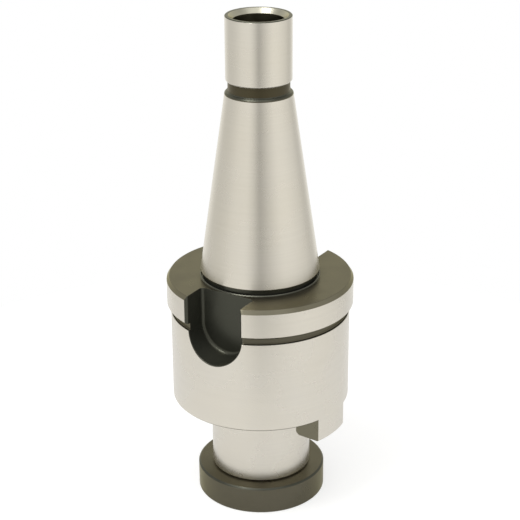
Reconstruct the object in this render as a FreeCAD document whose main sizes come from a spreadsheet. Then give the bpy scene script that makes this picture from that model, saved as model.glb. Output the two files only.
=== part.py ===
import FreeCAD, Part
import math
import os

import Sketcher

# Shell mill arbor with a 7:24 taper shank, standing on its retaining screw.
# Millimetres. The origin is the centre of the taper's gauge plane and +Z runs up the
# axis to the drawbar end. The two drive slots of the flange lie towards -Y and +Y.

SIZES = {
    # 7:24 taper and the cylindrical nose above it
    "gauge_diameter": 31.75,
    "taper_length": 48.4,
    "taper_rise": 7.0,
    "taper_run": 24.0,
    "taper_end_break": 0.4,
    "neck_depth": 0.55,
    "neck_length": 3.0,
    "nose_diameter": 17.1,
    "nose_length": 16.6,
    "nose_lower_break": 0.45,
    "nose_end_break": 0.3,
    # drawbar hole down the nose
    "nose_rim": 0.7,
    "counterbore_gap": 0.6,
    "counterbore_depth": 7.0,
    "drawbar_thread_diameter": 12.0,
    "drawbar_thread_length": 24.0,
    "drawbar_thread_depth": 0.9,
    "tap_drill_run_out": 3.0,
    # grinding groove between the taper and the flange, sunk a little into the flange's face
    "groove_depth": 0.675,
    "groove_rim_gap": 0.075,
    "groove_sink": 0.4,
    "groove_rim_break": 0.15,
    "face_gap": 1.6,
    # flange, undercut and cutter body
    "flange_diameter": 50.0,
    "flange_thickness": 8.0,
    "flange_upper_break": 0.75,
    "flange_lower_break": 0.5,
    "undercut_depth": 0.7,
    "undercut_width": 2.05,
    "body_diameter": 48.0,
    "body_length": 24.95,
    "body_break": 0.3,
    # spigot that centres the cutter
    "spigot_diameter": 27.0,
    "spigot_length": 21.5,
    "spigot_break": 1.0,
    # drive slots milled into the flange
    "slot_width": 16.1,
    "slot_length": 17.4,
    "slot_floor_gap": 0.325,
    "slot_corner_radius": 1.2,
    "slot_mouth_break": 0.9,
    "slot_edge_break": 0.2,
    # driving tenons left standing on the cutter face, turned from X by some degrees
    "tenon_width": 12.0,
    "tenon_height": 6.3,
    "tenon_gap": 3.6,
    "tenon_inner_break": 0.8,
    "tenon_turn": 4.5,
    # retaining screw and its tapped hole
    "screw_thread_diameter": 12.0,
    "thread_gap": 0.05,
    "screw_hole_spare": 6.0,
    "screw_hole_break": 0.65,
    "shank_length": 22.0,
    "shank_break": 1.0,
    "head_diameter": 35.0,
    "head_height": 7.5,
    "head_upper_break": 0.5,
    "head_lower_break": 0.25,
    "key_bore_diameter": 16.0,
    "key_slot_width": 8.0,
    "key_slot_span": 26.0,
    "key_recess_depth": 4.5,
}

DOCUMENT_NAME = "shell_mill_arbor"
START = 1
END = 2
CENTRE = 3
ORIGIN_POINT = (-1, 1)
Z_AXIS = -2
FULL_TURN = 360
OPPOSITE_PAIR = 2
KEY_CLAWS = 4
# rise of a 118 degree drill point, as a share of the drill's radius
DRILL_POINT_SLOPE = 0.6
# how far the mouth cut flares out past the flange, in multiples of the break
MOUTH_FLARE = 4.0
TOUCHING = 1e-4
RIM_SAMPLES = 9


class Length:
    """A length: its value, and the expression on the sheet that gives it."""

    def __init__(self, value, text):
        self.value = value
        self.text = text

    def __add__(self, other):
        return Length(self.value + other.value, f"({self.text} + {other.text})")

    def __sub__(self, other):
        return Length(self.value - other.value, f"({self.text} - {other.text})")

    def __mul__(self, factor):
        return Length(self.value * factor, f"({self.text} * {factor})")

    def __neg__(self):
        return Length(-self.value, f"(-{self.text})")

    def times_ratio(self, rise, run):
        value = self.value * rise.value / run.value
        return Length(value, f"({self.text} * {rise.text} / {run.text})")


ZERO = Length(0, "0")


def size(name):
    return Length(SIZES[name], f"sizes.{name}")


def radius(name):
    return size(name) * 0.5


# Levels along the axis, from the drawbar end down to the screw's head
NOSE_END = size("taper_length") + size("taper_end_break") + size("neck_length") + size("nose_length")
NOSE_FOOT = NOSE_END - size("nose_length")
TAPER_END = size("taper_length")
NECK_FOOT = TAPER_END + size("taper_end_break")
FLANGE_TOP = -size("face_gap")
GROOVE_FOOT = FLANGE_TOP - size("groove_sink")
FLANGE_FOOT = FLANGE_TOP - size("flange_thickness")
UNDERCUT_FOOT = FLANGE_FOOT - size("undercut_width")
CUTTER_FACE = UNDERCUT_FOOT - size("body_length")
TENON_FOOT = CUTTER_FACE - size("tenon_height")
SPIGOT_END = CUTTER_FACE - size("spigot_length")
HEAD_FOOT = SPIGOT_END - size("head_height")
TENON_INNER = radius("spigot_diameter") + size("tenon_gap")
SLOT_FLOOR = radius("gauge_diameter") + size("slot_floor_gap")
SLOT_ARC_LEVEL = FLANGE_TOP - size("slot_length") + radius("slot_width")


def write_sheet(document):
    sheet = document.addObject("Spreadsheet::Sheet", "sizes")
    for row, (name, value) in enumerate(SIZES.items(), start=1):
        sheet.set(f"A{row}", name)
        sheet.set(f"B{row}", str(value))
        sheet.setAlias(f"B{row}", name)
    document.recompute()


def new_body(document, label):
    body = document.addObject("PartDesign::Body", label)
    body.Label = label
    body.Placement = FreeCAD.Placement()
    return body


def origin_feature(body, role):
    return next(item for item in body.Origin.OriginFeatures if item.Role == role)


def new_sketch(body, name, plane, offset=ZERO, turn=ZERO):
    """A sketch on one of the body's origin planes, moved out along the plane's normal."""
    sketch = body.newObject("Sketcher::SketchObject", name)
    sketch.AttachmentSupport = [(origin_feature(body, plane), "")]
    sketch.MapMode = "FlatFace"
    sketch.setExpression("AttachmentOffset.Base.z", offset.text)
    sketch.setExpression("AttachmentOffset.Rotation.Angle", turn.text)
    return sketch


def set_datum(sketch, constraint, length):
    index = sketch.addConstraint(constraint)
    sketch.setExpression(f"Constraints[{index}]", length.text)


def pin_coordinate(sketch, kind, axis, curve, place, length):
    """Holds one end of a curve at a distance from the sketch's origin, or on its axis."""
    if length is ZERO:
        sketch.addConstraint(Sketcher.Constraint("PointOnObject", curve, place, axis))
        return
    start = (*ORIGIN_POINT, curve, place)
    set_datum(sketch, Sketcher.Constraint(kind, *start, length.value), length)


def draw_outline(sketch, corners):
    """A closed outline of straight edges. An upright or level edge shares its coordinate."""
    points = [FreeCAD.Vector(x.value, y.value, 0) for x, y in corners]
    for index, point in enumerate(points):
        sketch.addGeometry(Part.LineSegment(point, points[(index + 1) % len(points)]))
    for index in range(len(points)):
        following = (index + 1) % len(points)
        sketch.addConstraint(Sketcher.Constraint("Coincident", index, END, following, START))
    for index, (x, y) in enumerate(corners):
        before = (index - 1) % len(corners)
        if x.text == corners[before][0].text:
            sketch.addConstraint(Sketcher.Constraint("Vertical", before))
        else:
            pin_coordinate(sketch, "DistanceX", Z_AXIS, index, START, x)
        if y.text == corners[before][1].text:
            sketch.addConstraint(Sketcher.Constraint("Horizontal", before))
        else:
            pin_coordinate(sketch, "DistanceY", ORIGIN_POINT[0], index, START, y)


def draw_circle(sketch, length):
    circle = Part.Circle(FreeCAD.Vector(), FreeCAD.Vector(0, 0, 1), length.value)
    curve = sketch.addGeometry(circle)
    sketch.addConstraint(Sketcher.Constraint("Coincident", curve, CENTRE, *ORIGIN_POINT))
    set_datum(sketch, Sketcher.Constraint("Radius", curve, length.value), length)


def revolve(body, sketch, name, kind="PartDesign::Revolution"):
    feature = body.newObject(kind, name)
    feature.Profile = sketch
    feature.ReferenceAxis = (sketch, ["V_Axis"])
    feature.Angle = FULL_TURN
    return feature


def pocket(body, sketch, name, depth=None, outward=False):
    """Cuts the sketch into the body, to a depth or right through."""
    feature = body.newObject("PartDesign::Pocket", name)
    feature.Profile = sketch
    feature.Reversed = outward
    if depth is None:
        feature.Type = "ThroughAll"
    else:
        feature.Type = "Length"
        feature.setExpression("Length", depth.text)
    return feature


def repeat_round_axis(body, cuts, name, count):
    pattern = body.newObject("PartDesign::PolarPattern", name)
    pattern.Originals = cuts
    pattern.Axis = (origin_feature(body, "Z_Axis"), [""])
    pattern.Angle = FULL_TURN
    pattern.Occurrences = count
    body.Tip = pattern
    return pattern


def chord(circle_radius, across):
    """Distance from the axis, along a flat, to where the flat leaves the circle."""
    value = math.sqrt(circle_radius.value**2 - across.value**2)
    return Length(value, f"sqrt({circle_radius.text} ^ 2 - {across.text} ^ 2)")


def turn_blank(body):
    """The turned form in one piece, from the nose down to the spigot's end, with no holes."""
    taper_end = radius("gauge_diameter") - radius("taper_length").times_ratio(
        size("taper_rise"), size("taper_run")
    )
    nose = radius("nose_diameter")
    neck = nose - size("neck_depth")
    groove = radius("gauge_diameter") - size("groove_depth")
    groove_rim = radius("gauge_diameter") - size("groove_rim_gap")
    flange = radius("flange_diameter")
    cutter_body = radius("body_diameter")
    undercut = cutter_body - size("undercut_depth")
    spigot = radius("spigot_diameter")
    sketch = new_sketch(body, "turned_outline", "XZ_Plane")
    draw_outline(sketch, [
        (ZERO, NOSE_END),
        (nose - size("nose_end_break"), NOSE_END),
        (nose, NOSE_END - size("nose_end_break")),
        (nose, NOSE_FOOT + size("nose_lower_break")),
        (nose - size("nose_lower_break"), NOSE_FOOT),
        (neck, NOSE_FOOT),
        (neck, NECK_FOOT),
        (taper_end - size("taper_end_break"), NECK_FOOT),
        (taper_end, TAPER_END),
        (radius("gauge_diameter"), ZERO),
        (groove, ZERO),
        (groove, GROOVE_FOOT),
        (groove_rim, GROOVE_FOOT),
        (groove_rim, FLANGE_TOP - size("groove_rim_break")),
        (groove_rim + size("groove_rim_break"), FLANGE_TOP),
        (flange - size("flange_upper_break"), FLANGE_TOP),
        (flange, FLANGE_TOP - size("flange_upper_break")),
        (flange, FLANGE_FOOT + size("flange_lower_break")),
        (flange - size("flange_lower_break"), FLANGE_FOOT),
        (undercut, FLANGE_FOOT),
        (undercut, UNDERCUT_FOOT),
        (cutter_body, UNDERCUT_FOOT),
        (cutter_body, CUTTER_FACE + size("body_break")),
        (cutter_body - size("body_break"), CUTTER_FACE),
        (spigot, CUTTER_FACE),
        (spigot, SPIGOT_END + size("spigot_break")),
        (spigot - size("spigot_break"), SPIGOT_END),
        (ZERO, SPIGOT_END),
    ])
    revolve(body, sketch, "turned_blank")


def raise_tenons(body):
    """Two driving tenons across the cutter face, flush with the body and clear of the spigot."""
    outer = radius("body_diameter")
    inner = TENON_INNER
    flank = radius("tenon_width")
    level = CUTTER_FACE + size("body_break")
    sketch = new_sketch(body, "tenon_outline", "XY_Plane", level, -size("tenon_turn"))
    ends = []
    for arc_radius in (outer, inner):
        half_angle = math.asin(flank.value / arc_radius.value)
        circle = Part.Circle(FreeCAD.Vector(), FreeCAD.Vector(0, 0, 1), arc_radius.value)
        arc = sketch.addGeometry(Part.ArcOfCircle(circle, -half_angle, half_angle))
        sketch.addConstraint(Sketcher.Constraint("Coincident", arc, CENTRE, *ORIGIN_POINT))
        set_datum(sketch, Sketcher.Constraint("Radius", arc, arc_radius.value), arc_radius)
        ends.append(arc)
    outer_arc, inner_arc = ends
    for place, side in ((START, -flank), (END, flank)):
        far = FreeCAD.Vector(chord(outer, flank).value, side.value, 0)
        near = FreeCAD.Vector(chord(inner, flank).value, side.value, 0)
        line = sketch.addGeometry(Part.LineSegment(far, near))
        sketch.addConstraint(Sketcher.Constraint("Coincident", line, START, outer_arc, place))
        sketch.addConstraint(Sketcher.Constraint("Coincident", line, END, inner_arc, place))
        sketch.addConstraint(Sketcher.Constraint("Horizontal", line))
        pin_coordinate(sketch, "DistanceY", ORIGIN_POINT[0], line, START, side)
    tenon = body.newObject("PartDesign::Pad", "tenon")
    tenon.Profile = sketch
    tenon.Reversed = True
    tenon.setExpression("Length", (level - TENON_FOOT).text)
    repeat_round_axis(body, [tenon], "tenons", OPPOSITE_PAIR)


def break_tenon_edges(body):
    """Chamfers turned on the tenons' inner and outer lower corners."""
    outer = radius("body_diameter")
    inner_break = size("tenon_inner_break")
    outer_break = size("body_break")
    corners = (
        ("inner_corner", TENON_INNER, TENON_INNER + inner_break, TENON_FOOT + inner_break),
        ("outer_corner", outer, outer - outer_break, TENON_FOOT + outer_break),
    )
    for name, wall, foot, top in corners:
        sketch = new_sketch(body, name + "_outline", "XZ_Plane")
        draw_outline(sketch, [(wall, TENON_FOOT), (foot, TENON_FOOT), (wall, top)])
        revolve(body, sketch, name, "PartDesign::Groove")


def mill_drive_slots(body):
    """Two open slots for the spindle's keys, milled in from the side with a half-round end."""
    wall = radius("slot_width")
    sketch = new_sketch(body, "drive_slot_outline", "XZ_Plane", SLOT_FLOOR)
    top_left = FreeCAD.Vector(-wall.value, 0, 0)
    top_right = FreeCAD.Vector(wall.value, 0, 0)
    drop = FreeCAD.Vector(0, SLOT_ARC_LEVEL.value, 0)
    circle = Part.Circle(drop, FreeCAD.Vector(0, 0, 1), wall.value)
    left = sketch.addGeometry(Part.LineSegment(top_left, top_left + drop))
    arc = sketch.addGeometry(Part.ArcOfCircle(circle, math.pi, 2 * math.pi))
    right = sketch.addGeometry(Part.LineSegment(top_right + drop, top_right))
    top = sketch.addGeometry(Part.LineSegment(top_right, top_left))
    sketch.addConstraint(Sketcher.Constraint("Tangent", left, END, arc, START))
    sketch.addConstraint(Sketcher.Constraint("Tangent", arc, END, right, START))
    sketch.addConstraint(Sketcher.Constraint("Coincident", right, END, top, START))
    sketch.addConstraint(Sketcher.Constraint("Coincident", top, END, left, START))
    sketch.addConstraint(Sketcher.Constraint("Vertical", left))
    sketch.addConstraint(Sketcher.Constraint("PointOnObject", top, START, ORIGIN_POINT[0]))
    sketch.addConstraint(Sketcher.Constraint("PointOnObject", top, END, ORIGIN_POINT[0]))
    sketch.addConstraint(Sketcher.Constraint("PointOnObject", arc, CENTRE, Z_AXIS))
    set_datum(sketch, Sketcher.Constraint("Radius", arc, wall.value), wall)
    pin_coordinate(sketch, "DistanceY", ORIGIN_POINT[0], arc, CENTRE, SLOT_ARC_LEVEL)
    slot = pocket(body, sketch, "drive_slot", outward=True)

    edge = chord(radius("flange_diameter"), wall) - size("slot_mouth_break")
    flare = size("slot_mouth_break") * MOUTH_FLARE
    mouth = new_sketch(body, "slot_mouth_outline", "XY_Plane", FLANGE_FOOT)
    draw_outline(mouth, [
        (-wall, -edge),
        (wall, -edge),
        (wall + flare, -(edge + flare)),
        (-(wall + flare), -(edge + flare)),
    ])
    mouth_cut = pocket(body, mouth, "slot_mouth", size("flange_thickness"), outward=True)
    repeat_round_axis(body, [slot, mouth_cut], "drive_slots", OPPOSITE_PAIR)


def round_slot_floors(body):
    """The cutter's nose radius along the foot of the slot walls."""
    base = body.Tip
    edges = []
    for index, edge in enumerate(base.Shape.Edges, start=1):
        box = edge.BoundBox
        on_floor = abs(abs(box.Center.y) - SLOT_FLOOR.value) < TOUCHING and box.YLength < TOUCHING
        if on_floor and box.ZLength > TOUCHING:
            edges.append(f"Edge{index}")
    fillet = body.newObject("PartDesign::Fillet", "slot_floor_radius")
    fillet.Base = (base, edges)
    fillet.setExpression("Radius", size("slot_corner_radius").text)


def break_slot_edges(body):
    """The deburred rim where each slot runs out through the cutter body."""
    base = body.Tip
    edges = []
    for index, edge in enumerate(base.Shape.Edges, start=1):
        points = edge.discretize(RIM_SAMPLES)
        distances = [math.hypot(point.x, point.y) for point in points]
        on_body = all(abs(distance - radius("body_diameter").value) < TOUCHING for distance in distances)
        in_slot = all(abs(point.x) < size("slot_width").value for point in points)
        sloping = edge.BoundBox.ZLength > TOUCHING
        if on_body and in_slot and sloping:
            edges.append(f"Edge{index}")
    chamfer = body.newObject("PartDesign::Chamfer", "slot_edge_break")
    chamfer.Base = (base, edges)
    chamfer.setExpression("Size", size("slot_edge_break").text)


def bore_nose(body):
    """Countersunk, counterbored hole for the drawbar, with room for its thread."""
    mouth = radius("nose_diameter") - size("nose_rim")
    thread = radius("drawbar_thread_diameter")
    counterbore = thread + size("counterbore_gap")
    drill = thread - size("drawbar_thread_depth")
    ledge = NOSE_END - size("counterbore_depth")
    thread_foot = ledge - size("drawbar_thread_length")
    drill_foot = thread_foot - size("tap_drill_run_out")
    sketch = new_sketch(body, "drawbar_hole_outline", "XZ_Plane")
    draw_outline(sketch, [
        (ZERO, NOSE_END),
        (mouth, NOSE_END),
        (counterbore, NOSE_END - (mouth - counterbore)),
        (counterbore, ledge),
        (thread, ledge),
        (thread, thread_foot),
        (drill, thread_foot),
        (drill, drill_foot),
        (ZERO, drill_foot - drill * DRILL_POINT_SLOPE),
    ])
    revolve(body, sketch, "drawbar_hole", "PartDesign::Groove")


def bore_spigot(body):
    """Tapped hole up the spigot for the retaining screw."""
    thread = radius("screw_thread_diameter") + size("thread_gap")
    mouth = thread + size("screw_hole_break")
    bottom = SPIGOT_END + size("shank_length") + size("screw_hole_spare")
    sketch = new_sketch(body, "screw_hole_outline", "XZ_Plane")
    draw_outline(sketch, [
        (ZERO, SPIGOT_END),
        (mouth, SPIGOT_END),
        (thread, SPIGOT_END + size("screw_hole_break")),
        (thread, bottom),
        (ZERO, bottom + thread * DRILL_POINT_SLOPE),
    ])
    revolve(body, sketch, "screw_hole", "PartDesign::Groove")


def make_arbor(document):
    body = new_body(document, "arbor")
    turn_blank(body)
    raise_tenons(body)
    break_tenon_edges(body)
    mill_drive_slots(body)
    document.recompute()
    round_slot_floors(body)
    document.recompute()
    break_slot_edges(body)
    bore_nose(body)
    bore_spigot(body)
    return body


def make_retaining_screw(document):
    """Disc-headed screw, tight against the spigot's end, with a key recess underneath."""
    body = new_body(document, "retaining_screw")
    shank = radius("screw_thread_diameter")
    head = radius("head_diameter")
    shank_end = SPIGOT_END + size("shank_length")
    sketch = new_sketch(body, "screw_outline", "XZ_Plane")
    draw_outline(sketch, [
        (ZERO, shank_end),
        (shank - size("shank_break"), shank_end),
        (shank, shank_end - size("shank_break")),
        (shank, SPIGOT_END),
        (head - size("head_upper_break"), SPIGOT_END),
        (head, SPIGOT_END - size("head_upper_break")),
        (head, HEAD_FOOT + size("head_lower_break")),
        (head - size("head_lower_break"), HEAD_FOOT),
        (ZERO, HEAD_FOOT),
    ])
    revolve(body, sketch, "turned_screw")

    depth = size("key_recess_depth")
    bore = new_sketch(body, "key_bore_outline", "XY_Plane", HEAD_FOOT)
    draw_circle(bore, radius("key_bore_diameter"))
    pocket(body, bore, "key_bore", depth, outward=True)

    slot = new_sketch(body, "key_slot_outline", "XY_Plane", HEAD_FOOT)
    draw_half_slot(slot, radius("key_slot_span"), radius("key_slot_width"))
    key_slot = pocket(body, slot, "key_slot", depth, outward=True)
    repeat_round_axis(body, [key_slot], "key_slots", KEY_CLAWS)
    return body


def draw_half_slot(sketch, reach, wall):
    """A round-ended slot from the axis out to its reach along X."""
    end = reach - wall
    centre = FreeCAD.Vector(end.value, 0, 0)
    side = FreeCAD.Vector(0, wall.value, 0)
    circle = Part.Circle(centre, FreeCAD.Vector(0, 0, 1), wall.value)
    lower = sketch.addGeometry(Part.LineSegment(-side, centre - side))
    arc = sketch.addGeometry(Part.ArcOfCircle(circle, -math.pi / 2, math.pi / 2))
    upper = sketch.addGeometry(Part.LineSegment(centre + side, side))
    closing = sketch.addGeometry(Part.LineSegment(side, -side))
    sketch.addConstraint(Sketcher.Constraint("Tangent", lower, END, arc, START))
    sketch.addConstraint(Sketcher.Constraint("Tangent", arc, END, upper, START))
    sketch.addConstraint(Sketcher.Constraint("Coincident", upper, END, closing, START))
    sketch.addConstraint(Sketcher.Constraint("Coincident", closing, END, lower, START))
    sketch.addConstraint(Sketcher.Constraint("Horizontal", lower))
    sketch.addConstraint(Sketcher.Constraint("PointOnObject", closing, START, Z_AXIS))
    sketch.addConstraint(Sketcher.Constraint("PointOnObject", closing, END, Z_AXIS))
    sketch.addConstraint(Sketcher.Constraint("PointOnObject", arc, CENTRE, ORIGIN_POINT[0]))
    set_datum(sketch, Sketcher.Constraint("Radius", arc, wall.value), wall)
    pin_coordinate(sketch, "DistanceX", Z_AXIS, arc, CENTRE, end)


def check_features(document, bodies):
    """Stops if a feature failed, if a cut took nothing away, or if a body isn't one sound solid."""
    for item in document.Objects:
        if "Invalid" in item.State or "Error" in item.State:
            raise RuntimeError(f"{item.Name} failed: {item.State}")
    for body in bodies:
        if body.Shape.isNull() or not body.Shape.isValid() or len(body.Shape.Solids) != 1:
            raise RuntimeError(f"{body.Label} is not one valid solid")
        for feature in body.Group:
            if feature.TypeId in ("PartDesign::Pocket", "PartDesign::Groove"):
                if feature.Shape.Volume >= feature.BaseFeature.Shape.Volume:
                    raise RuntimeError(f"{feature.Name} cuts nothing")


def main():
    document = FreeCAD.newDocument(DOCUMENT_NAME)
    write_sheet(document)
    bodies = [make_arbor(document), make_retaining_screw(document)]
    document.recompute()
    check_features(document, bodies)
    os.makedirs("parts", exist_ok=True)
    for body in bodies:
        body.Shape.exportStep(f"parts/{body.Label}.step")


main()
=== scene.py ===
import math

import bmesh
import bpy
from mathutils import Matrix, Vector


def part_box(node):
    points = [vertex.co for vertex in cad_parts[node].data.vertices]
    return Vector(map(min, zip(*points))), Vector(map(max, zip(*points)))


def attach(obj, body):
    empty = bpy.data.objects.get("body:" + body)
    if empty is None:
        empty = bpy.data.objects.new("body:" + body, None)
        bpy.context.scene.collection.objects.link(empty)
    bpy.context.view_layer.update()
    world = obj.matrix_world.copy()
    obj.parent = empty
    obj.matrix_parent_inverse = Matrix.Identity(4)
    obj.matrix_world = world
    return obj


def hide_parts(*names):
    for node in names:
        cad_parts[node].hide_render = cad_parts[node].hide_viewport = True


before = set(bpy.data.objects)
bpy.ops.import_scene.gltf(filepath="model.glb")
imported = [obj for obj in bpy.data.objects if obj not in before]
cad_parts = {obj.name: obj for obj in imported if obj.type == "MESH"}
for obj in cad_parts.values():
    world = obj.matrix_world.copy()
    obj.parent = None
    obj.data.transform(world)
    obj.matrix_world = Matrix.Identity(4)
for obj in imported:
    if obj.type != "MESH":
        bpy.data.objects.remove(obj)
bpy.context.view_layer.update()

# The arbor's turned blank. One piece of case-hardened steel: turned, blackened all over,
# then ground bright wherever it locates, which is the nose, the taper, the flange's rim,
# the cutter body, the seat and the spigot. Sizes here are in millimetres.
MM = 0.001
TURN_STEPS = 240
ARC_STEPS = 3

# the finishes, which are the arbor's materials in this order
BRIGHT = 0
BLACK = 1
# the darker film, whose darkness is painted shade in the recesses and on some edge breaks
DEEP = 2
RUBBED = 3
WORN = 4
OILED = 5

# radii of rounded edges and corners
CRISP = 0.06
EASED = 0.12
SOFT = 0.15
FILLET = 0.3
NOSE_ROUND = 0.35

# the 7:24 taper, whose radius falls by 7 in 48
GAUGE_RADIUS = 15.875
SMALL_RADIUS = 8.8167
TAPER_LENGTH = 48.4
TAPER_END_BREAK = 0.4
# a narrow band at each end of the taper stays black: its width, and what it adds to the
# radius at the small end or takes from it at the large end
UPPER_BAND = 0.25
UPPER_BAND_FLARE = 0.036
LOWER_BAND = 0.2
LOWER_BAND_INSET = 0.03
NECK_RADIUS = 8.0
NOSE_RADIUS = 8.55
NOSE_FOOT = 51.5
NOSE_LOWER_BREAK = 0.45
nose_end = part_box("arbor")[1].z / MM
NOSE_BREAK = 0.2
RIM_WIDTH = 0.9
SEAT_DEPTH = 1.25
BORE_RADIUS = 6.6
LEDGE = 61.4
THREAD_RADIUS = 6.0
THREAD_FOOT = 37.4
DRILL_RADIUS = 5.1
DRILL_FOOT = 34.4
DRILL_POINT = 31.34

FLANGE_RADIUS = 25.0
FLANGE_TOP = -1.6
FLANGE_FOOT = -9.6
FLANGE_BREAK_WIDTH = 0.75
FLANGE_BREAK_HEIGHT = 1.08
FLANGE_LOWER_BREAK = 0.5
GROOVE_INNER = GAUGE_RADIUS - 0.675
GROOVE_OUTER = GAUGE_RADIUS - 0.125
GROOVE_FLOOR = FLANGE_TOP - 0.4
LIP_WIDTH = 0.1
LIP_HEIGHT = 0.24
UNDERCUT_RADIUS = 23.3
UNDERCUT_FOOT = -11.65
BODY_RADIUS = 24.0
BODY_BREAK = 0.3

CUTTER_FACE = -36.6
TENON_FOOT = -42.9
TENON_INNER = 17.1
TENON_INNER_BREAK = 0.8
SPIGOT_RADIUS = 13.5
SPIGOT_BREAK = 0.45
spigot_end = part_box("arbor")[0].z / MM
SCREW_HOLE_RADIUS = 6.05
SCREW_HOLE_BREAK = 0.65
SCREW_HOLE_DEPTH = 28.0
SCREW_DRILL_DEPTH = 31.63

# corner radius, height, edge radius, finish of the surface that follows
BLANK = [
    (0, DRILL_POINT, 0, BLACK),
    (DRILL_RADIUS, DRILL_FOOT, 0, BLACK),
    (DRILL_RADIUS, THREAD_FOOT, 0, BLACK),
    (THREAD_RADIUS, THREAD_FOOT, 0, BLACK),
    (THREAD_RADIUS, LEDGE, CRISP, BLACK),
    (BORE_RADIUS, LEDGE, 0, WORN),
    (BORE_RADIUS, nose_end - SEAT_DEPTH, CRISP, RUBBED),
    (NOSE_RADIUS - RIM_WIDTH, nose_end, CRISP, DEEP),
    (NOSE_RADIUS - NOSE_BREAK, nose_end, CRISP, DEEP),
    (NOSE_RADIUS, nose_end - NOSE_BREAK, CRISP, BRIGHT),
    (NOSE_RADIUS, NOSE_FOOT + NOSE_LOWER_BREAK, NOSE_ROUND, BRIGHT),
    (NOSE_RADIUS - NOSE_LOWER_BREAK, NOSE_FOOT, SOFT, DEEP),
    (NECK_RADIUS, NOSE_FOOT, 0, OILED),
    (NECK_RADIUS, TAPER_LENGTH + TAPER_END_BREAK, FILLET, DEEP),
    (SMALL_RADIUS - TAPER_END_BREAK, TAPER_LENGTH + TAPER_END_BREAK, CRISP, DEEP),
    (SMALL_RADIUS, TAPER_LENGTH, CRISP, BLACK),
    (SMALL_RADIUS + UPPER_BAND_FLARE, TAPER_LENGTH - UPPER_BAND, 0, BRIGHT),
    (GAUGE_RADIUS - LOWER_BAND_INSET, LOWER_BAND, 0, BLACK),
    (GAUGE_RADIUS, 0, CRISP, DEEP),
    (GROOVE_INNER, 0, 0, DEEP),
    (GROOVE_INNER, GROOVE_FLOOR, SOFT, DEEP),
    (GROOVE_OUTER, GROOVE_FLOOR, 0, DEEP),
    (GROOVE_OUTER, FLANGE_TOP + LIP_HEIGHT, CRISP, DEEP),
    (GROOVE_OUTER + LIP_WIDTH, FLANGE_TOP + LIP_HEIGHT, CRISP, DEEP),
    (GROOVE_OUTER + LIP_WIDTH + LIP_HEIGHT, FLANGE_TOP, 0, BLACK),
    (FLANGE_RADIUS - FLANGE_BREAK_WIDTH, FLANGE_TOP, EASED, WORN),
    (FLANGE_RADIUS, FLANGE_TOP - FLANGE_BREAK_HEIGHT, CRISP, BRIGHT),
    (FLANGE_RADIUS, FLANGE_FOOT + FLANGE_LOWER_BREAK, CRISP, BLACK),
    (FLANGE_RADIUS - FLANGE_LOWER_BREAK, FLANGE_FOOT, CRISP, DEEP),
    (UNDERCUT_RADIUS, FLANGE_FOOT, FILLET, BLACK),
    (UNDERCUT_RADIUS, UNDERCUT_FOOT, FILLET, DEEP),
    (BODY_RADIUS, UNDERCUT_FOOT, EASED, BRIGHT),
    (BODY_RADIUS, TENON_FOOT + BODY_BREAK, CRISP, BLACK),
    (BODY_RADIUS - BODY_BREAK, TENON_FOOT, CRISP, BLACK),
    (TENON_INNER + TENON_INNER_BREAK, TENON_FOOT, CRISP, BLACK),
    (TENON_INNER, TENON_FOOT + TENON_INNER_BREAK, CRISP, BLACK),
    (TENON_INNER, CUTTER_FACE, 0, BRIGHT),
    (SPIGOT_RADIUS, CUTTER_FACE, 0, BRIGHT),
    (SPIGOT_RADIUS, spigot_end + SPIGOT_BREAK, CRISP, BRIGHT),
    (SPIGOT_RADIUS - SPIGOT_BREAK, spigot_end, CRISP, BLACK),
    (SCREW_HOLE_RADIUS + SCREW_HOLE_BREAK, spigot_end, CRISP, BLACK),
    (SCREW_HOLE_RADIUS, spigot_end + SCREW_HOLE_BREAK, CRISP, BLACK),
    (SCREW_HOLE_RADIUS, spigot_end + SCREW_HOLE_DEPTH, 0, BLACK),
    (0, spigot_end + SCREW_DRILL_DEPTH, 0, BLACK),
]


def eased_outline(corners):
    """The outline's points with its edges rounded, and the finish of the stretch after each.

    Between two finishes, a rounded edge takes the one that stands first in their list.
    """
    points = []
    for index, (radius, height, easing, finish) in enumerate(corners):
        corner = Vector((radius, height))
        if easing == 0:
            points.append((corner, finish))
            continue
        before = Vector(corners[index - 1][:2]) - corner
        after = Vector(corners[index + 1][:2]) - corner
        half_angle = before.angle(after) / 2
        tangent = easing / math.tan(half_angle)
        start = corner + before.normalized() * tangent
        end = corner + after.normalized() * tangent
        inward = (before.normalized() + after.normalized()).normalized()
        centre = corner + inward * easing / math.sin(half_angle)
        edge_finish = min(finish, corners[index - 1][3])
        for step in range(ARC_STEPS + 1):
            share = step / ARC_STEPS
            spoke = (start - centre).slerp(end - centre, share) * easing
            points.append((centre + spoke, finish if step == ARC_STEPS else edge_finish))
    return points


def turned(name, corners):
    """A closed solid of revolution about Z, its two ends on the axis."""
    shape = bmesh.new()
    rings = []
    outline = eased_outline(corners)
    for (radius, height), _ in outline:
        if radius == 0:
            rings.append([shape.verts.new((0, 0, height * MM))])
            continue
        ring = []
        for step in range(TURN_STEPS):
            angle = 2 * math.pi * (step + 0.5) / TURN_STEPS
            place = (radius * math.cos(angle) * MM, radius * math.sin(angle) * MM, height * MM)
            ring.append(shape.verts.new(place))
        rings.append(ring)
    for index in range(len(rings) - 1):
        upper, lower = rings[index], rings[index + 1]
        for step in range(TURN_STEPS):
            following = (step + 1) % TURN_STEPS
            corners_here = [
                upper[step % len(upper)],
                upper[following % len(upper)],
                lower[following % len(lower)],
                lower[step % len(lower)],
            ]
            face = shape.faces.new(list(dict.fromkeys(corners_here)))
            face.material_index = outline[index][1]
    return finished_mesh(name, shape)


def finished_mesh(name, shape):
    """An object in the scene from a closed shape, with its faces pointing outwards."""
    bmesh.ops.recalc_face_normals(shape, faces=shape.faces)
    mesh = bpy.data.meshes.new(name)
    shape.to_mesh(mesh)
    shape.free()
    made = bpy.data.objects.new(name, mesh)
    bpy.context.scene.collection.objects.link(made)
    return made


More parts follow.
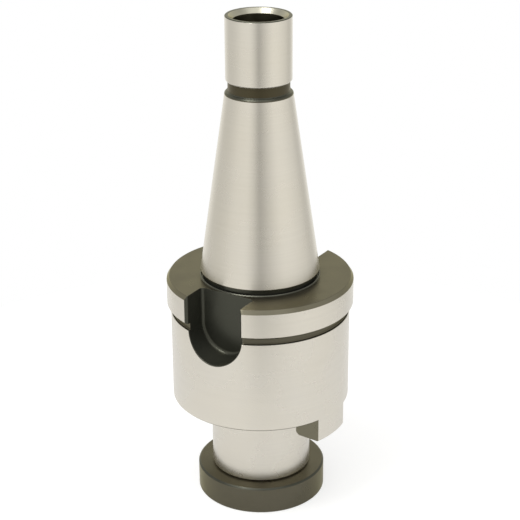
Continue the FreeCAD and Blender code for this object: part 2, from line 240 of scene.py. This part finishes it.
arbor = turned("arbor_body", BLANK)

# The drive slots. Two open keyways milled in from the side with a round-nosed cutter, so each ends in a
# half circle and has a small radius round its floor. The sharp mouth is broken at 45 degrees, the rim
# on the curved body by a lesser amount, and all stays black, in the darker film whose darkness is
# painted shade.
SLOT_HALF = 8.05
SLOT_FLOOR = 16.2
SLOT_ARC_HEIGHT = -10.95
SLOT_NOSE_RADIUS = 1.0
SLOT_TOP = 1.0
RIM_BREAK = 0.2
RIM_START = 0.05
MOUTH_BREAK = 0.9
FLOOR_STEPS = 6
ARC_POINTS = 40
# where a cutter ends outside the blank, and how far it passes the surface that it cuts
CLEAR = 30.0
PAST = 1.0
# corners whose heights differ by less than this, in metres, lie on one level
SAME_LEVEL = 1e-7


def bridged(name, layers, finish, bright_level=None):
    """A closed solid through outlines of as many points each; one level may be ground bright."""
    shape = bmesh.new()
    rings = [[shape.verts.new(Vector(point) * MM) for point in layer] for layer in layers]
    shape.faces.new(rings[0])
    shape.faces.new(rings[-1])
    count = len(rings[0])
    for lower, upper in zip(rings, rings[1:]):
        for index in range(count):
            following = (index + 1) % count
            shape.faces.new((lower[index], lower[following], upper[following], upper[index]))
    for face in shape.faces:
        face.material_index = finish
        if bright_level and all(abs(vert.co.z - bright_level * MM) < SAME_LEVEL for vert in face.verts):
            face.material_index = BRIGHT
    return finished_mesh(name, shape)


def slot_outline(inset, flare):
    """The slot seen from the side; below the flange it also opens out by the flare."""
    wall = SLOT_HALF - inset
    arc = [
        (
            (wall + flare) * math.cos(math.pi * (1 + step / ARC_POINTS)),
            SLOT_ARC_HEIGHT + (wall + flare) * math.sin(math.pi * (1 + step / ARC_POINTS)),
        )
        for step in range(ARC_POINTS + 1)
    ]
    left = [(-wall, SLOT_TOP), (-wall, FLANGE_FOOT), (-wall - flare, FLANGE_FOOT - RIM_START)]
    return left + arc + [(-x, height) for x, height in reversed(left)]


def slot_cutter(side):
    """The whole slot: its rounded floor, its walls and the broken rim on the curved body."""
    layers = []
    for step in range(FLOOR_STEPS + 1):
        angle = math.pi / 2 * step / FLOOR_STEPS
        inset = SLOT_NOSE_RADIUS * (1 - math.sin(angle))
        depth = SLOT_FLOOR + SLOT_NOSE_RADIUS * (1 - math.cos(angle))
        layers.append([(x, side * depth, height) for x, height in slot_outline(inset, 0)])
    for shell, flare in ((BODY_RADIUS - RIM_BREAK, 0), (BODY_RADIUS + RIM_BREAK, 2 * RIM_BREAK)):
        outline = slot_outline(0, flare)
        layers.append([(x, side * math.sqrt(shell**2 - x**2), height) for x, height in outline])
    layers.append([(x, side * CLEAR, height) for x, height in slot_outline(0, 2 * RIM_BREAK)])
    return bridged("slot_cutter", layers, DEEP)


def mouth_cutter(side):
    """The 45 degree break on both sides of the slot's mouth in the flange."""
    edge = math.sqrt(FLANGE_RADIUS**2 - SLOT_HALF**2) - MOUTH_BREAK
    flare = CLEAR - edge
    right = [(SLOT_HALF, edge), (SLOT_HALF + flare, CLEAR)]
    plan = [(-SLOT_HALF, edge), *right, (-SLOT_HALF - flare, CLEAR)]
    heights = (FLANGE_FOOT - PAST, SLOT_TOP)
    layers = [[(x, side * y, height) for x, y in plan] for height in heights]
    return bridged("mouth_cutter", layers, DEEP)


# The driving tenons. The ring under the cutter face is milled away on both sides, which
# leaves two tenons standing, flush with the body, a few degrees off square to the slots.
TENON_HALF = 6.0
TENON_TURN = math.radians(-4.5)
SECTOR_STEPS = 90
SECTOR_INNER = 15.3
SECTOR_OUTER = BODY_RADIUS + 1.5


def tenon_cutter(side):
    """Half of the ring under the cutter face; its two ends cut the tenons' sides."""
    section = [
        (SECTOR_INNER, TENON_FOOT - PAST),
        (SECTOR_INNER, CUTTER_FACE),
        (BODY_RADIUS - BODY_BREAK, CUTTER_FACE),
        (SECTOR_OUTER, CUTTER_FACE + BODY_BREAK + SECTOR_OUTER - BODY_RADIUS),
        (SECTOR_OUTER, TENON_FOOT - PAST),
    ]
    layers = []
    for step in range(SECTOR_STEPS + 1):
        layer = []
        for radius, height in section:
            first = math.asin(TENON_HALF / radius)
            angle = first + (math.pi - 2 * first) * step / SECTOR_STEPS
            angle = TENON_TURN + side * angle
            layer.append((radius * math.cos(angle), radius * math.sin(angle), height))
        layers.append(layer)
    cutter = bridged("tenon_cutter", layers, BLACK, CUTTER_FACE)
    for face in cutter.data.polygons:
        if len(face.vertices) == len(section):
            face.material_index = WORN
    return cutter


def cut(target, cutter):
    """Takes the cutter's volume out of the target for good."""
    carve = target.modifiers.new("cut", "BOOLEAN")
    carve.object = cutter
    carve.operation = "DIFFERENCE"
    carve.solver = "EXACT"
    apply_modifiers(target)
    bpy.data.objects.remove(cutter)


def apply_modifiers(target):
    """Turns what the modifiers make into the object's own mesh."""
    bpy.context.view_layer.update()
    graph = bpy.context.evaluated_depsgraph_get()
    mesh = bpy.data.meshes.new_from_object(target.evaluated_get(graph))
    target.modifiers.clear()
    target.data = mesh


def smooth_with_flats(target, crease):
    """Smooth shading in which the large faces keep their own direction."""
    for polygon in target.data.polygons:
        polygon.use_smooth = True
    target.data.set_sharp_from_angle(angle=math.radians(crease))
    weighted = target.modifiers.new("flats", "WEIGHTED_NORMAL")
    weighted.keep_sharp = True
    apply_modifiers(target)


# Ground steel: case-hardened alloy steel, cylindrically ground and left bare with a film of
# oil. The wheel's marks run round the axis, so it gives soft reflections that are drawn out
# along the axis, a faint warm tint and a slightly uneven polish.
def colour(code):
    """A linear colour from an sRGB hex value."""
    values = [int(code[place : place + 2], 16) / 255 for place in (1, 3, 5)]
    linear = [v / 12.92 if v <= 0.04045 else ((v + 0.055) / 1.055) ** 2.4 for v in values]
    return (*linear, 1)


def add_node(tree, kind, inputs=None, **settings):
    """Adds a node; each input is given a plain value or the socket that feeds it.

    A Mix node's colours are its inputs 6 and 7, and the mixed colour is its output 2.
    """
    made = tree.nodes.new(kind)
    for name, value in settings.items():
        setattr(made, name, value)
    for name, value in (inputs or {}).items():
        if isinstance(value, bpy.types.NodeSocket):
            tree.links.new(value, made.inputs[name])
        else:
            made.inputs[name].default_value = value
    return made


def new_material(name):
    """A material with an empty node tree."""
    made = bpy.data.materials.new(name)
    made.use_nodes = True
    made.node_tree.nodes.clear()
    return made


def ring_marks(tree, place, spacing, run, detail):
    """Marks that run round the axis; their spacing and the length of their run are in mm."""
    parts = add_node(tree, "ShaderNodeSeparateXYZ", {0: place})
    flat = add_node(
        tree, "ShaderNodeVectorMath", {0: place, 1: (1, 1, 0)}, operation="MULTIPLY"
    ).outputs[0]
    radius = add_node(tree, "ShaderNodeVectorMath", {0: flat}, operation="LENGTH").outputs["Value"]
    along = add_node(tree, "ShaderNodeMath", {0: radius, 1: parts.outputs["Z"]}).outputs[0]
    lanes = add_node(
        tree, "ShaderNodeMath", {0: along, 1: 1 / (spacing * MM)}, operation="MULTIPLY"
    ).outputs[0]
    drift = add_node(
        tree, "ShaderNodeVectorMath", {0: flat, "Scale": 1 / (run * MM)}, operation="SCALE"
    ).outputs[0]
    lane = add_node(tree, "ShaderNodeCombineXYZ", {"Z": lanes}).outputs[0]
    spot = add_node(tree, "ShaderNodeVectorMath", {0: drift, 1: lane}).outputs[0]
    return add_node(
        tree, "ShaderNodeTexNoise", {"Vector": spot, "Scale": 1.0, "Detail": detail}
    ).outputs["Fac"]


# The wheel's real marks are about 0.02 mm apart, too fine to show, so they are drawn coarser.
GRIND_SPACING = 0.35
GRIND_RUN = 40.0
GRIND_DEPTH = 0.02
# a film of oil lies in patches of about this size
SMUDGE = 14.0
ground_steel = new_material("ground_steel")
tree = ground_steel.node_tree
place = add_node(tree, "ShaderNodeTexCoord").outputs["Object"]
marks = ring_marks(tree, place, GRIND_SPACING, GRIND_RUN, 2.0)
smudges = add_node(
    tree, "ShaderNodeTexNoise", {"Vector": place, "Scale": 1 / (SMUDGE * MM), "Detail": 4.0}
).outputs["Fac"]
tone = add_node(
    tree,
    "ShaderNodeMix",
    {"Factor": smudges, 6: colour("#dbd5c8"), 7: colour("#ddd9d1")},
    data_type="RGBA",
).outputs[2]
lined = add_node(
    tree,
    "ShaderNodeMapRange",
    {"Value": marks, "From Min": 0.3, "From Max": 0.7, "To Min": 0.983, "To Max": 1.013},
).outputs[0]
steel_colour = add_node(
    tree, "ShaderNodeVectorMath", {0: tone, "Scale": lined}, operation="SCALE"
).outputs[0]
polish = add_node(
    tree,
    "ShaderNodeMapRange",
    {"Value": smudges, "From Min": 0.3, "From Max": 0.7, "To Min": 0.25, "To Max": 0.3},
).outputs[0]
relief = add_node(
    tree, "ShaderNodeBump", {"Height": marks, "Strength": 0.035, "Distance": GRIND_DEPTH * MM}
).outputs[0]
round_axis = add_node(tree, "ShaderNodeTangent", direction_type="RADIAL", axis="Z").outputs[0]
shader = add_node(
    tree,
    "ShaderNodeBsdfPrincipled",
    {
        "Base Color": steel_colour,
        "Metallic": 1.0,
        "Roughness": polish,
        "Normal": relief,
        "Anisotropic": 0.75,
        "Anisotropic Rotation": 0.25,
        "Tangent": round_axis,
    },
)
add_node(tree, "ShaderNodeOutputMaterial", {"Surface": shader.outputs[0]})

# Black oxide: the same steel as it comes from the hot blacking bath, a thin brown-black magnetite film
# sealed with oil. It is dark and even, shines at a low angle, and the turning marks show through it.
# Its sharp edges are lighter: partly the film worn off them, partly a painted edge highlight.

# The lathe's real marks are about 0.1 mm apart and the film's crystals far smaller. Neither
# would show, so both are drawn coarser. The film is thicker and thinner in larger patches.
TURN_SPACING = 0.5
TURN_RUN = 25.0
TURN_DEPTH = 0.02
GRAIN = 0.5
FILM_PATCH = 6.0
EDGE_WEAR_AND_GLINT = 0.25
black_oxide = new_material("black_oxide")
tree = black_oxide.node_tree
place = add_node(tree, "ShaderNodeTexCoord").outputs["Object"]
marks = ring_marks(tree, place, TURN_SPACING, TURN_RUN, 3.0)
film = add_node(
    tree, "ShaderNodeTexNoise", {"Vector": place, "Scale": 1 / (FILM_PATCH * MM), "Detail": 5.0}
).outputs["Fac"]
grain = add_node(
    tree, "ShaderNodeTexNoise", {"Vector": place, "Scale": 1 / (GRAIN * MM), "Detail": 3.0}
).outputs["Fac"]
film_colour = add_node(
    tree,
    "ShaderNodeMix",
    {"Factor": film, 6: colour("#5b5749"), 7: colour("#656154")},
    data_type="RGBA",
    name="film_tone",
).outputs[2]
# convex edges are lightened: partly worn film, partly a painted edge highlight
edges = add_node(
    tree,
    "ShaderNodeAmbientOcclusion",
    {"Distance": EDGE_WEAR_AND_GLINT * MM},
    inside=True,
    only_local=True,
    samples=6,
).outputs["AO"]
wear_and_glint = add_node(
    tree,
    "ShaderNodeMapRange",
    {"Value": edges, "From Min": 0.75, "From Max": 0.45, "To Min": 0.0, "To Max": 0.55},
).outputs[0]
patchy_wear_and_glint = add_node(
    tree, "ShaderNodeMath", {0: wear_and_glint, 1: film}, operation="MULTIPLY"
).outputs[0]
oxide_colour = add_node(
    tree,
    "ShaderNodeMix",
    {"Factor": patchy_wear_and_glint, 6: film_colour, 7: colour("#a5a296")},
    data_type="RGBA",
).outputs[2]
polish = add_node(
    tree,
    "ShaderNodeMapRange",
    {"Value": film, "From Min": 0.3, "From Max": 0.7, "To Min": 0.26, "To Max": 0.4},
).outputs[0]
height = add_node(tree, "ShaderNodeMath", {0: marks, 1: grain}).outputs[0]
relief = add_node(
    tree, "ShaderNodeBump", {"Height": height, "Strength": 0.15, "Distance": TURN_DEPTH * MM}
).outputs[0]
shader = add_node(
    tree,
    "ShaderNodeBsdfPrincipled",
    {
        "Base Color": oxide_colour,
        "Metallic": 0.85,
        "Roughness": polish,
        "Normal": relief,
        "Specular Tint": colour("#fffbe0"),
    },
    name="oxide",
)
add_node(tree, "ShaderNodeOutputMaterial", {"Surface": shader.outputs[0]})


def oxide_like(name, dark, light, metallic):
    """The black oxide with a film that varies between two other colours."""
    made = black_oxide.copy()
    made.name = name
    made.node_tree.nodes["film_tone"].inputs[6].default_value = colour(dark)
    made.node_tree.nodes["film_tone"].inputs[7].default_value = colour(light)
    made.node_tree.nodes["oxide"].inputs["Metallic"].default_value = metallic
    return made


# Deep black oxide: the slots, the groove, the undercut and the rim of the nose, in a darker, greyer
# film. Its darkness is painted shade: it darkens the recesses where shade falls, and dims the glints of
# the nose's rim and of some edge breaks.
shade_darkened_oxide = oxide_like("shade_darkened_black_oxide", "#42433c", "#4a4b43", 0.6)

# Rubbed oxide: the centre seat in the nose's mouth. The arbor was ground between centres
# after blacking, and the centre has rubbed half of the film off, down to grey steel.
rubbed_oxide = oxide_like("rubbed_black_oxide", "#aeab9a", "#bbb8aa", 1.0)

# Worn oxide: the edge break of the flange's face, the tenons' sides, and the hole and thread
# that the drawbar passes. What they meet has worn the film, and the steel shows through it.
worn_oxide = oxide_like("worn_black_oxide", "#716d5c", "#7e7a6a", 1.0)

# Oiled oxide: the neck, a narrow recess in which the sealing oil has dried to a brown
# varnish. It is less metallic than the rest and shines more at a low angle.
oiled_oxide = oxide_like("oiled_black_oxide", "#403a29", "#494331", 0.3)
oiled_oxide.node_tree.nodes["oxide"].inputs["Specular Tint"].default_value = colour("#fff4d0")

for material in (ground_steel, black_oxide, shade_darkened_oxide, rubbed_oxide, worn_oxide, oiled_oxide):
    arbor.data.materials.append(material)
for side in (-1, 1):
    cut(arbor, slot_cutter(side))
    cut(arbor, mouth_cutter(side))
    cut(arbor, tenon_cutter(side))
smooth_with_flats(arbor, 40)
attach(arbor, "root")
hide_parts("arbor")

# The drawbar thread. A right-handed M12 thread tapped down the middle of the nose, with
# the usual 1.75 mm pitch; the bath has blackened it and the drawbar has worn its film. Its
# ridge sinks a little into the hole's wall, and runs out into the wall at both ends.
PITCH = 1.75
THREAD_SINK = 0.03
# these four are in turns: the start above the hole's foot, what the turns leave free, the
# run-out's length, and how finely a turn is stepped
START_TURNS = 0.6
FREE_TURNS = 1.2
RUN_OUT_TURNS = 0.4
STEPS_PER_TURN = 64
# the ridge's width at the wall and at its crest, as shares of the pitch
RIDGE_FOOT = 0.9
RIDGE_CREST = 0.25
thread_tree = bpy.data.node_groups.new("tapped_thread", "GeometryNodeTree")
for label, kind in (
    ("Wall Radius", "NodeSocketFloat"),
    ("Crest Radius", "NodeSocketFloat"),
    ("Pitch", "NodeSocketFloat"),
    ("Turns", "NodeSocketFloat"),
    ("Foot", "NodeSocketFloat"),
    ("Finish", "NodeSocketMaterial"),
):
    thread_tree.interface.new_socket(label, in_out="INPUT", socket_type=kind)
thread_tree.interface.new_socket("Thread", in_out="OUTPUT", socket_type="NodeSocketGeometry")
given = add_node(thread_tree, "NodeGroupInput").outputs
middle = add_node(
    thread_tree, "ShaderNodeMath", {0: given["Wall Radius"], 1: given["Crest Radius"]}
).outputs[0]
middle = add_node(thread_tree, "ShaderNodeMath", {0: middle, 1: 0.5}, operation="MULTIPLY").outputs[0]
depth = add_node(
    thread_tree,
    "ShaderNodeMath",
    {0: given["Wall Radius"], 1: given["Crest Radius"]},
    operation="SUBTRACT",
).outputs[0]
rise = add_node(
    thread_tree, "ShaderNodeMath", {0: given["Pitch"], 1: given["Turns"]}, operation="MULTIPLY"
).outputs[0]
helix = add_node(
    thread_tree,
    "GeometryNodeCurveSpiral",
    {
        "Resolution": STEPS_PER_TURN,
        "Rotations": given["Turns"],
        "Start Radius": middle,
        "End Radius": middle,
        "Height": rise,
        "Reverse": True,
    },
).outputs[0]
share = add_node(thread_tree, "GeometryNodeSplineParameter").outputs["Factor"]
from_foot = add_node(
    thread_tree, "ShaderNodeMath", {0: share, 1: given["Turns"]}, operation="MULTIPLY"
).outputs[0]
from_top = add_node(
    thread_tree, "ShaderNodeMath", {0: given["Turns"], 1: from_foot}, operation="SUBTRACT"
).outputs[0]
from_end = add_node(
    thread_tree, "ShaderNodeMath", {0: from_foot, 1: from_top}, operation="MINIMUM"
).outputs[0]
run_out = add_node(
    thread_tree,
    "ShaderNodeMapRange",
    {"Value": from_end, "From Min": 0.0, "From Max": RUN_OUT_TURNS, "To Min": depth, "To Max": 0.0},
).outputs[0]
spot = add_node(thread_tree, "GeometryNodeInputPosition").outputs[0]
outward = add_node(
    thread_tree, "ShaderNodeVectorMath", {0: spot, 1: (1, 1, 0)}, operation="MULTIPLY"
).outputs[0]
outward = add_node(
    thread_tree, "ShaderNodeVectorMath", {0: outward}, operation="NORMALIZE"
).outputs[0]
run_out = add_node(
    thread_tree, "ShaderNodeVectorMath", {0: outward, "Scale": run_out}, operation="SCALE"
).outputs[0]
helix = add_node(
    thread_tree, "GeometryNodeSetPosition", {"Geometry": helix, "Offset": run_out}
).outputs[0]
helix = add_node(
    thread_tree, "GeometryNodeSetCurveNormal", {"Curve": helix}, mode="Z_UP"
).outputs[0]
foot_width = add_node(
    thread_tree, "ShaderNodeMath", {0: given["Pitch"], 1: RIDGE_FOOT}, operation="MULTIPLY"
).outputs[0]
crest_width = add_node(
    thread_tree, "ShaderNodeMath", {0: given["Pitch"], 1: RIDGE_CREST}, operation="MULTIPLY"
).outputs[0]
ridge = add_node(
    thread_tree,
    "GeometryNodeCurvePrimitiveQuadrilateral",
    {"Bottom Width": foot_width, "Top Width": crest_width, "Height": depth, "Offset": 0.0},
    mode="TRAPEZOID",
).outputs[0]
ridge = add_node(
    thread_tree, "GeometryNodeTransform", {"Geometry": ridge, "Rotation": (0, 0, math.pi / 2)}
).outputs[0]
swept = add_node(
    thread_tree,
    "GeometryNodeCurveToMesh",
    {"Curve": helix, "Profile Curve": ridge, "Fill Caps": True},
).outputs[0]
lift = add_node(thread_tree, "ShaderNodeCombineXYZ", {"Z": given["Foot"]}).outputs[0]
placed = add_node(
    thread_tree, "GeometryNodeSetPosition", {"Geometry": swept, "Offset": lift}
).outputs[0]
whole = add_node(thread_tree, "GeometryNodeRealizeInstances", {"Geometry": placed}).outputs[0]
finished = add_node(
    thread_tree, "GeometryNodeSetMaterial", {"Geometry": whole, "Material": given["Finish"]}
).outputs[0]
add_node(thread_tree, "NodeGroupOutput", {"Thread": finished})

drawbar_thread = bpy.data.objects.new("drawbar_thread", bpy.data.meshes.new("drawbar_thread"))
bpy.context.scene.collection.objects.link(drawbar_thread)
tapped = drawbar_thread.modifiers.new("thread", "NODES")
tapped.node_group = thread_tree
thread_sizes = {
    "Wall Radius": (THREAD_RADIUS + THREAD_SINK) * MM,
    "Crest Radius": DRILL_RADIUS * MM,
    "Pitch": PITCH * MM,
    "Turns": (LEDGE - THREAD_FOOT) / PITCH - FREE_TURNS,
    "Foot": (THREAD_FOOT + START_TURNS * PITCH) * MM,
    "Finish": worn_oxide,
}
for entry in thread_tree.interface.items_tree:
    if entry.name in thread_sizes:
        tapped[entry.identifier] = thread_sizes[entry.name]
apply_modifiers(drawbar_thread)
smooth_with_flats(drawbar_thread, 30)
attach(drawbar_thread, "root")

# The retaining screw. It holds the cutter on the spigot: a wide flat head turned on an M12
# shank, blackened all over, with two round-ended slots milled across its foot for the key.
screw_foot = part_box("retaining_screw")[0].z / MM
screw_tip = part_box("retaining_screw")[1].z / MM
HEAD_RADIUS = 17.5
HEAD_UPPER_BREAK = 0.5
HEAD_LOWER_BREAK = 0.25
SHANK_RADIUS = 6.0
SHANK_BREAK = 1.0
KEY_RADIUS = 8.0
KEY_REACH = 13.0
KEY_HALF = 4.0
KEY_LEVEL = screw_foot + 4.5
SCREW = [
    (0, screw_tip, 0, BLACK),
    (SHANK_RADIUS - SHANK_BREAK, screw_tip, 0, BLACK),
    (SHANK_RADIUS, screw_tip - SHANK_BREAK, 0, BLACK),
    (SHANK_RADIUS, spigot_end, 0, BLACK),
    (HEAD_RADIUS - HEAD_UPPER_BREAK, spigot_end, EASED, DEEP),
    (HEAD_RADIUS, spigot_end - HEAD_UPPER_BREAK, EASED, BLACK),
    (HEAD_RADIUS, screw_foot + HEAD_LOWER_BREAK, CRISP, BLACK),
    (HEAD_RADIUS - HEAD_LOWER_BREAK, screw_foot, CRISP, BLACK),
    (KEY_RADIUS, screw_foot, CRISP, BLACK),
    (KEY_RADIUS, KEY_LEVEL, 0, BLACK),
    (0, KEY_LEVEL, 0, BLACK),
]
retaining_screw = turned("screw_body", SCREW)
for material in (ground_steel, black_oxide, shade_darkened_oxide):
    retaining_screw.data.materials.append(material)


def key_cutter(turn):
    """A round-ended slot right across the foot, turned round the axis."""
    outline = []
    for end in (0, math.pi):
        for step in range(ARC_POINTS + 1):
            angle = end - math.pi / 2 + math.pi * step / ARC_POINTS
            across = (KEY_REACH - KEY_HALF) * math.cos(end) + KEY_HALF * math.cos(angle)
            outline.append(Vector((across, KEY_HALF * math.sin(angle))))
    layers = []
    for height in (screw_foot - PAST, KEY_LEVEL):
        layers.append([(*(Matrix.Rotation(turn, 2) @ point), height) for point in outline])
    return bridged("key_cutter", layers, DEEP)


for turn in (0, math.pi / 2):
    cut(retaining_screw, key_cutter(turn))
smooth_with_flats(retaining_screw, 40)
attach(retaining_screw, "root")
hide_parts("retaining_screw")

# The light tent. The arbor stands on a sheet of white paper in a white tent whose walls are
# lit from outside; they are darker in front, where the lens looks in, and at two seams. The
# paper shows from above only, so that the screw's foot can be seen from below.
FLOOR_RADIUS = 0.15
PAPER_GAP = 0.05
CAMERA_TURN = math.radians(31.6)
# real fibres are about 0.03 mm wide, so they are drawn coarser
FIBRE = 0.8
FIBRE_DEPTH = 0.05
# the paper's own light, as the lens sees it and as the metal mirrors it
PAPER_SEEN = 0.66
PAPER_MIRRORED = 0.46
paper = new_material("white_paper")
tree = paper.node_tree
place = add_node(tree, "ShaderNodeTexCoord").outputs["Object"]
fibres = add_node(
    tree, "ShaderNodeTexNoise", {"Vector": place, "Scale": 1 / (FIBRE * MM), "Detail": 3.0}
).outputs["Fac"]
relief = add_node(
    tree, "ShaderNodeBump", {"Height": fibres, "Strength": 0.05, "Distance": FIBRE_DEPTH * MM}
).outputs[0]
sheet = add_node(
    tree,
    "ShaderNodeBsdfPrincipled",
    {"Base Color": colour("#bcbcba"), "Roughness": 0.9, "Normal": relief, "Specular IOR Level": 0.0},
).outputs[0]
ray = add_node(tree, "ShaderNodeLightPath").outputs
mirrored = add_node(
    tree,
    "ShaderNodeMath",
    {0: ray["Is Glossy Ray"], 1: ray["Is Transmission Ray"]},
    operation="MAXIMUM",
).outputs[0]
mirrored = add_node(
    tree, "ShaderNodeMath", {0: mirrored, 1: PAPER_MIRRORED}, operation="MULTIPLY"
).outputs[0]
lift = add_node(
    tree,
    "ShaderNodeMath",
    {0: ray["Is Camera Ray"], 1: PAPER_SEEN, 2: mirrored},
    operation="MULTIPLY_ADD",
).outputs[0]
glow = add_node(tree, "ShaderNodeEmission", {"Color": (1, 1, 1, 1), "Strength": lift}).outputs[0]
both = add_node(tree, "ShaderNodeAddShader", {0: sheet, 1: glow}).outputs[0]
under = add_node(tree, "ShaderNodeNewGeometry").outputs["Backfacing"]
clear = add_node(tree, "ShaderNodeBsdfTransparent").outputs[0]
one_sided = add_node(tree, "ShaderNodeMixShader", {0: under, 1: both, 2: clear}).outputs[0]
add_node(tree, "ShaderNodeOutputMaterial", {"Surface": one_sided})

shape = bmesh.new()
bmesh.ops.create_circle(shape, cap_ends=True, segments=128, radius=FLOOR_RADIUS)
bmesh.ops.translate(shape, verts=shape.verts, vec=(0, 0, (screw_foot - PAPER_GAP) * MM))
floor = finished_mesh("floor", shape)
if floor.data.polygons[0].normal.z < 0:
    floor.data.flip_normals()
floor.data.materials.append(paper)

tent = bpy.data.worlds.new("light_tent")
bpy.context.scene.world = tent
tent.use_nodes = True
tree = tent.node_tree
tree.nodes.clear()
way = add_node(tree, "ShaderNodeTexCoord").outputs["Generated"]
turned_way = add_node(
    tree, "ShaderNodeVectorRotate", {"Vector": way, "Angle": -CAMERA_TURN}, rotation_type="Z_AXIS"
).outputs[0]
parts = add_node(tree, "ShaderNodeSeparateXYZ", {0: turned_way})
backward = add_node(
    tree, "ShaderNodeMath", {0: parts.outputs["Y"], 1: -1.0}, operation="MULTIPLY"
).outputs[0]
bearing = add_node(
    tree, "ShaderNodeMath", {0: parts.outputs["X"], 1: backward}, operation="ARCTAN2"
).outputs[0]
bearing = add_node(
    tree,
    "ShaderNodeMapRange",
    {"Value": bearing, "From Min": -math.pi, "From Max": math.pi},
).outputs[0]
# bearing from the lens in degrees, the wall's light low down, its light higher up
TENT_WALLS = (
    (-180, 1.0, 1.0),
    (-150, 0.95, 0.95),
    (-122, 0.74, 0.74),
    (-100, 0.76, 0.76),
    (-85, 0.8, 0.8),
    (-60, 0.92, 0.92),
    (-30, 0.93, 0.6),
    (-15, 0.78, 0.3),
    (0, 0.49, 0.2),
    (10, 0.62, 0.2),
    (20, 0.74, 0.3),
    (32, 0.87, 0.6),
    (46, 0.99, 0.99),
    (64, 1.0, 1.0),
    (78, 0.96, 0.96),
    (104, 0.84, 0.84),
    (122, 0.7, 0.7),
    (135, 0.72, 0.72),
    (155, 0.95, 0.95),
    (180, 1.0, 1.0),
)
# the tent's cloth is a little warm, which lowers its green and blue by these factors
WARM_GREEN = 0.99
WARM_BLUE = 0.945
# heights as sines of the angle above the horizon: where the low light starts and ends to
# give way to the high one, and where the roof starts and ends to dim to its own light
BAND_START = 0.3
BAND_END = 0.6
ROOF_START = 0.5
ROOF_END = 0.9
ROOF_LIGHT = 0.45
# the light that the tent gives to dull surfaces
FILL_LIGHT = 0.5
bands = []
for column in (1, 2):
    band = add_node(tree, "ShaderNodeValToRGB", {0: bearing})
    stops = band.color_ramp.elements
    while len(stops) < len(TENT_WALLS):
        stops.new(0.5)
    for stop, row in zip(stops, TENT_WALLS):
        level = row[column]
        stop.position = (row[0] + 180) / 360
        stop.color = (level, level * WARM_GREEN, level * WARM_BLUE, 1)
    bands.append(band.outputs[0])
raised = add_node(
    tree,
    "ShaderNodeMapRange",
    {"Value": parts.outputs["Z"], "From Min": BAND_START, "From Max": BAND_END},
).outputs[0]
walls = add_node(
    tree, "ShaderNodeMix", {"Factor": raised, 6: bands[0], 7: bands[1]}, data_type="RGBA"
).outputs[2]
ray = add_node(tree, "ShaderNodeLightPath").outputs
roof = add_node(
    tree,
    "ShaderNodeMapRange",
    {
        "Value": parts.outputs["Z"],
        "From Min": ROOF_START,
        "From Max": ROOF_END,
        "To Min": 1.0,
        "To Max": ROOF_LIGHT,
    },
).outputs[0]
around = add_node(
    tree, "ShaderNodeBackground", {"Color": walls, "Strength": roof}
).outputs[0]
plain = add_node(tree, "ShaderNodeBackground", {"Color": (1, 1, 1, 1), "Strength": 1.0}).outputs[0]
fill = add_node(
    tree, "ShaderNodeBackground", {"Color": (1, 1, 1, 1), "Strength": FILL_LIGHT}
).outputs[0]
lit = add_node(tree, "ShaderNodeMixShader", {0: ray["Is Glossy Ray"], 1: fill, 2: around}).outputs[0]
behind = add_node(tree, "ShaderNodeMixShader", {0: ray["Is Camera Ray"], 1: lit, 2: plain}).outputs[0]
add_node(tree, "ShaderNodeOutputWorld", {"Surface": behind})


def soft_box(name, place, size, watts):
    """A square lamp at a place in metres, aimed at the flange."""
    lamp = bpy.data.lights.new(name, "AREA")
    lamp.size = size
    lamp.energy = watts
    box = bpy.data.objects.new(name, lamp)
    box.location = place
    box.rotation_euler = (-Vector(place)).to_track_quat("-Z", "Y").to_euler()
    bpy.context.scene.collection.objects.link(box)


# the main light from above the lens, and a small one that glints on the slot's floor
soft_box("high_lamp", (0.20, -0.33, 0.92), 1.1, 4.2)
soft_box("left_lamp", (-0.128, -0.353, 0.706), 0.25, 1.8)

# The camera. It looks down by 22.9 degrees from the side on which the near slot shows, with
# a long lens. Its reach from the axis and its height are in metres, its lens and film in mm.
CAMERA_REACH = 0.36901
CAMERA_HEIGHT = 0.1580
CAMERA_DIP = math.radians(22.92)
CAMERA_ROLL = math.radians(-0.36)
CAMERA_LENS = 104.14
CAMERA_FILM = 36.0
camera = bpy.data.objects.new("camera", bpy.data.cameras.new("camera"))
bpy.context.scene.collection.objects.link(camera)
stand = Vector((0, -CAMERA_REACH, CAMERA_HEIGHT))
camera.location = Matrix.Rotation(CAMERA_TURN, 3, "Z") @ stand
aim = Matrix.Rotation(CAMERA_TURN, 4, "Z") @ Matrix.Rotation(math.pi / 2 - CAMERA_DIP, 4, "X")
camera.rotation_euler = (aim @ Matrix.Rotation(CAMERA_ROLL, 4, "Z")).to_euler()
camera.data.lens = CAMERA_LENS
camera.data.sensor_width = CAMERA_FILM
bpy.context.scene.camera = camera
bpy.context.scene.view_settings.view_transform = "Standard"
